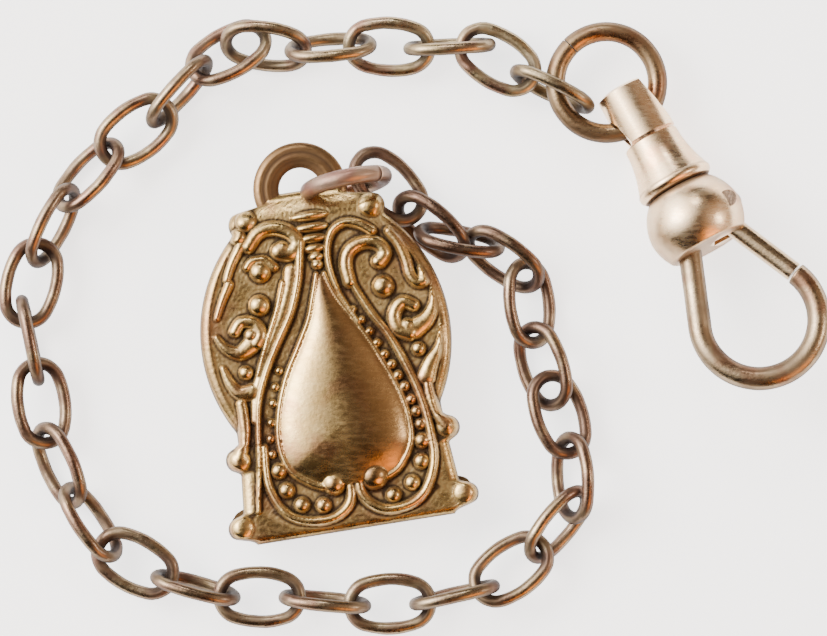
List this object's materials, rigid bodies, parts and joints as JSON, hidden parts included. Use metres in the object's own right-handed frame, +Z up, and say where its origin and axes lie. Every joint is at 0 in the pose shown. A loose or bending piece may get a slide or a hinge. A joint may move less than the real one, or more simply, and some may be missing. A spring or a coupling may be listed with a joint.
{
  "type": "pocket watch chain",
  "caption": "Pocket watch chain of linked oval links, with an ornamental sprung pocket clip at one end and a swivelling hook clasp with a sprung gate at the other.",
  "frame": {"origin": "centre of the laid-out chain's bounding box, on the table it lies on", "axes": "+X to the right along the lay's longest side, +Y up the lay from the clip's jaw towards its loop, +Z up from the table"},
  "size_m": [0.0531, 0.0396, 0.0064],
  "materials": {
    "link_gold": "polished, worn, gold filled",
    "ring_gold": "polished, rose tinted",
    "clip_shell": "dull, with brown patina",
    "clip_front": "stamped and stippled, worn on the highlights",
    "clasp_gold": "polished, rose tinted, worn",
    "hook_gold": "satin, worn",
    "steel": "bare"
  },
  "bodies": {
    "clip": {"clip_frame": "clip_shell", "clip_front_plate": "clip_front", "clip_hinge_pin": "steel", "clip_lever_spring": "steel"},
    "spring_lever": {"clip_spring_lever": "clip_shell"},
    "jump_ring": {"clip_jump_ring": "ring_gold"},
    "link_01": {"link_01": "link_gold"},
    "link_02": {"link_02": "link_gold"},
    "link_03": {"link_03": "link_gold"},
    "link_04": {"link_04": "link_gold"},
    "link_05": {"link_05": "link_gold"},
    "link_06": {"link_06": "link_gold"},
    "link_07": {"link_07": "link_gold"},
    "link_08": {"link_08": "link_gold"},
    "link_09": {"link_09": "link_gold"},
    "link_10": {"link_10": "link_gold"},
    "link_11": {"link_11": "link_gold"},
    "link_12": {"link_12": "link_gold"},
    "link_13": {"link_13": "link_gold"},
    "link_14": {"link_14": "link_gold"},
    "link_15": {"link_15": "link_gold"},
    "link_16": {"link_16": "link_gold"},
    "link_17": {"link_17": "link_gold"},
    "link_18": {"link_18": "link_gold"},
    "link_19": {"link_19": "link_gold"},
    "link_20": {"link_20": "link_gold"},
    "link_21": {"link_21": "link_gold"},
    "link_22": {"link_22": "link_gold"},
    "link_23": {"link_23": "link_gold"},
    "link_24": {"link_24": "link_gold"},
    "link_25": {"link_25": "link_gold"},
    "link_26": {"link_26": "link_gold"},
    "link_27": {"link_27": "link_gold"},
    "link_28": {"link_28": "link_gold"},
    "link_29": {"link_29": "link_gold"},
    "link_30": {"link_30": "link_gold"},
    "link_31": {"link_31": "link_gold"},
    "link_32": {"link_32": "link_gold"},
    "swivel_ring": {"swivel_ring": "ring_gold"},
    "swivel_head": {"swivel_head": "clasp_gold", "swivel_pin": "steel"},
    "clasp_body": {"swivel_barrel": "clasp_gold", "clasp_collar": "clasp_gold", "clasp_hook": "hook_gold", "gate_rivet": "hook_gold", "gate_spring": "steel"},
    "gate": {"clasp_gate": "hook_gold"}
  },
  "joints": [
    {"name": "lever_hinge", "type": "hinge", "parent": "clip", "child": "spring_lever", "pos_m": [-0.00544, -0.00072, 0.00155], "axis": [0.9877, 0.1564, 0], "range_deg": [0, 15], "stiffness_Nm_per_rad": 0.05, "springref_deg": -22.92, "deforming": ["clip_lever_spring"]},
    {"name": "jump_ring_swing", "type": "hinge", "parent": "clip", "child": "jump_ring", "pos_m": [-0.00653, 0.00844, 0.00275], "axis": [0, 0, 1], "range_deg": [0, 22]},
    {"name": "link_01_swing", "type": "hinge", "parent": "jump_ring", "child": "link_01", "pos_m": [-0.00352, 0.00908, 0.00181], "axis": [0, 0, -1], "range_deg": [-8, 0]},
    {"name": "link_02_swing", "type": "hinge", "parent": "link_01", "child": "link_02", "pos_m": [-0.00009, 0.00755, 0.00154], "axis": [0, 0, 1], "range_deg": [0, 22]},
    {"name": "link_03_lift", "type": "hinge", "parent": "link_02", "child": "link_03", "pos_m": [0.00212, 0.00563, 0.00175], "axis": [-0.4384, -0.8988, 0], "range_deg": [-6, 1]},
    {"name": "link_04_lift", "type": "hinge", "parent": "link_03", "child": "link_04", "pos_m": [0.00469, 0.00513, 0.00175], "axis": [-0.3907, -0.9205, 0], "range_deg": [-3, 14]},
    {"name": "link_05_lift", "type": "hinge", "parent": "link_04", "child": "link_05", "pos_m": [0.00745, 0.0032, 0.00154], "axis": [0.8616, 0.5075, 0], "range_deg": [-22, 22]},
    {"name": "link_06_lift", "type": "hinge", "parent": "link_05", "child": "link_06", "pos_m": [0.00785, -0.00065, 0.00143], "axis": [-0.9781, -0.2079, 0], "range_deg": [-22, 22]},
    {"name": "link_07_lift", "type": "hinge", "parent": "link_06", "child": "link_07", "pos_m": [0.009, -0.00419, 0.00147], "axis": [0.9483, 0.3173, 0], "range_deg": [-11, 22]},
    {"name": "link_08_lift", "type": "hinge", "parent": "link_07", "child": "link_08", "pos_m": [0.01021, -0.0077, 0.00161], "axis": [0.9799, 0.1994, 0], "range_deg": [-22, 5]},
    {"name": "link_09_lift", "type": "hinge", "parent": "link_08", "child": "link_09", "pos_m": [0.01048, -0.01147, 0.00171], "axis": [0.9537, -0.3007, 0], "range_deg": [-18, 18]},
    {"name": "link_10_lift", "type": "hinge", "parent": "link_09", "child": "link_10", "pos_m": [0.0081, -0.0144, 0.00175], "axis": [-0.6884, 0.7254, 0], "range_deg": [-22, 20]},
    {"name": "link_11_lift", "type": "hinge", "parent": "link_10", "child": "link_11", "pos_m": [0.00477, -0.01682, 0.00189], "axis": [-0.4147, 0.91, 0], "range_deg": [-22, 20]},
    {"name": "link_12_lift", "type": "hinge", "parent": "link_11", "child": "link_12", "pos_m": [0.00076, -0.01774, 0.00189], "axis": [-0.1305, 0.9914, 0], "range_deg": [-16, 12]},
    {"name": "link_13_lift", "type": "hinge", "parent": "link_12", "child": "link_13", "pos_m": [-0.00341, -0.01789, 0.00188], "axis": [-0.0349, -0.9994, 0], "range_deg": [-10, 22]},
    {"name": "link_14_swing", "type": "hinge", "parent": "link_13", "child": "link_14", "pos_m": [-0.00756, -0.01745, 0.00188], "axis": [0, 0, 1], "range_deg": [-20, 14]},
    {"name": "link_15_swing", "type": "hinge", "parent": "link_14", "child": "link_15", "pos_m": [-0.01173, -0.01731, 0.00186], "axis": [0, 0, 1], "range_deg": [-18, 22]},
    {"name": "link_16_swing", "type": "hinge", "parent": "link_15", "child": "link_16", "pos_m": [-0.01575, -0.01623, 0.00185], "axis": [0, 0, 1], "range_deg": [-16, 22]},
    {"name": "link_17_swing", "type": "hinge", "parent": "link_16", "child": "link_17", "pos_m": [-0.01931, -0.01426, 0.00177], "axis": [0, 0, -1], "range_deg": [-22, 14]},
    {"name": "link_18_swing", "type": "hinge", "parent": "link_17", "child": "link_18", "pos_m": [-0.02159, -0.01088, 0.00175], "axis": [0, 0, 1], "range_deg": [-16, 22]},
    {"name": "link_19_swing", "type": "hinge", "parent": "link_18", "child": "link_19", "pos_m": [-0.02329, -0.00707, 0.00176], "axis": [0, 0, -1], "range_deg": [-22, 14]},
    {"name": "link_20_swing", "type": "hinge", "parent": "link_19", "child": "link_20", "pos_m": [-0.02386, -0.00299, 0.0019], "axis": [0, 0, 1], "range_deg": [-14, 22]},
    {"name": "link_21_swing", "type": "hinge", "parent": "link_20", "child": "link_21", "pos_m": [-0.02467, 0.00084, 0.0019], "axis": [0, 0, -1], "range_deg": [-22, 14]},
    {"name": "link_22_swing", "type": "hinge", "parent": "link_21", "child": "link_22", "pos_m": [-0.02374, 0.0046, 0.00183], "axis": [0, 0, -1], "range_deg": [-22, 12]},
    {"name": "link_23_swing", "type": "hinge", "parent": "link_22", "child": "link_23", "pos_m": [-0.02194, 0.00813, 0.00175], "axis": [0, 0, -1], "range_deg": [-22, 12]},
    {"name": "link_24_swing", "type": "hinge", "parent": "link_23", "child": "link_24", "pos_m": [-0.01921, 0.01116, 0.0017], "axis": [0, 0, 1], "range_deg": [-14, 18]},
    {"name": "link_25_swing", "type": "hinge", "parent": "link_24", "child": "link_25", "pos_m": [-0.01604, 0.01355, 0.00185], "axis": [0, 0, -1], "range_deg": [-10, 16]},
    {"name": "link_26_swing", "type": "hinge", "parent": "link_25", "child": "link_26", "pos_m": [-0.01342, 0.01646, 0.00185], "axis": [0, 0, -1], "range_deg": [-22, 16]},
    {"name": "link_27_swing", "type": "hinge", "parent": "link_26", "child": "link_27", "pos_m": [-0.01052, 0.01807, 0.0017], "axis": [0, 0, -1], "range_deg": [-22, 1]},
    {"name": "link_28_swing", "type": "hinge", "parent": "link_27", "child": "link_28", "pos_m": [-0.00718, 0.0176, 0.00175], "axis": [0, 0, -1], "range_deg": [-22, 18]},
    {"name": "link_29_swing", "type": "hinge", "parent": "link_28", "child": "link_29", "pos_m": [-0.00322, 0.01795, 0.00181], "axis": [0, 0, -1], "range_deg": [-22, 20]},
    {"name": "link_30_swing", "type": "hinge", "parent": "link_29", "child": "link_30", "pos_m": [0.00059, 0.01775, 0.00188], "axis": [0, 0, -1], "range_deg": [-22, 22]},
    {"name": "link_31_swing", "type": "hinge", "parent": "link_30", "child": "link_31", "pos_m": [0.00421, 0.01794, 0.00188], "axis": [0, 0, -1], "range_deg": [-22, 12]},
    {"name": "link_32_swing", "type": "hinge", "parent": "link_31", "child": "link_32", "pos_m": [0.00732, 0.01599, 0.00188], "axis": [0, 0, 1], "range_deg": [-22, 22]},
    {"name": "swivel_ring_swing", "type": "hinge", "parent": "link_32", "child": "swivel_ring", "pos_m": [0.00935, 0.015, 0.00209], "axis": [0, 0, -1], "range_deg": [-6, 22]},
    {"name": "clasp_tilt", "type": "hinge", "parent": "swivel_ring", "child": "swivel_head", "pos_m": [0.01464, 0.01324, 0.00209], "axis": [0.7431, 0.6691, 0], "range_deg": [0, 45]},
    {"name": "clasp_swivel", "type": "hinge", "parent": "swivel_head", "child": "clasp_body", "pos_m": [0.01604, 0.01062, 0.00252], "axis": [0.4646, -0.8738, 0.1432], "continuous": true},
    {"name": "gate_hinge", "type": "hinge", "parent": "clasp_body", "child": "gate", "pos_m": [0.02025, 0.0076, 0.0032], "axis": [0.0672, -0.1265, -0.9897], "range_deg": [0, 22], "stiffness_Nm_per_rad": 0.003, "springref_deg": -22.92, "deforming": ["gate_spring"]}
  ]
}
